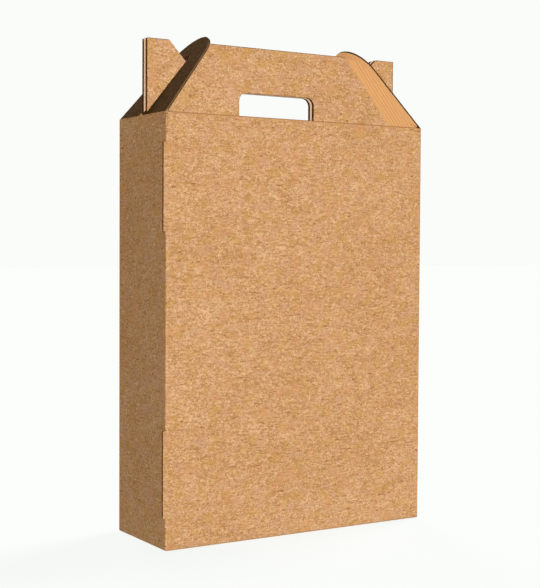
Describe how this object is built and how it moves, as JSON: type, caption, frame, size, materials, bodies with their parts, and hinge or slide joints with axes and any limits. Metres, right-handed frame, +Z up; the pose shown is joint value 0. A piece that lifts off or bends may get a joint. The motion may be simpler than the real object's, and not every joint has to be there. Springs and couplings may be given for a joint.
{
  "type": "wine bottle carrier box",
  "caption": "Tall folded carrier of brown corrugated board for wine bottles, with an upright handle, a hand hole and slotted end flaps hooked over ears.",
  "frame": {"origin": "middle of the base between the four walls, on the surface that the box stands on", "axes": "+Z up, +X along the front wall to the right, +Y from the front wall to the back wall"},
  "size_m": [0.2575, 0.088, 0.4185],
  "materials": {
    "brown_board": "matt uncoated brown liner with fibre flecks"
  },
  "bodies": {
    "carton": {"carton": "brown_board", "bottle_divider": "brown_board"},
    "left_flap": {"left_end_flap": "brown_board"},
    "right_flap": {"right_end_flap": "brown_board"}
  },
  "joints": [
    {"name": "left_flap_crease", "type": "hinge", "parent": "carton", "child": "left_flap", "pos_m": [-0.1275, 0, 0.35], "axis": [0, -1, 0], "range_deg": [0, 200]},
    {"name": "right_flap_crease", "type": "hinge", "parent": "carton", "child": "right_flap", "pos_m": [0.1275, 0, 0.35], "axis": [0, 1, 0], "range_deg": [0, 200]}
  ]
}
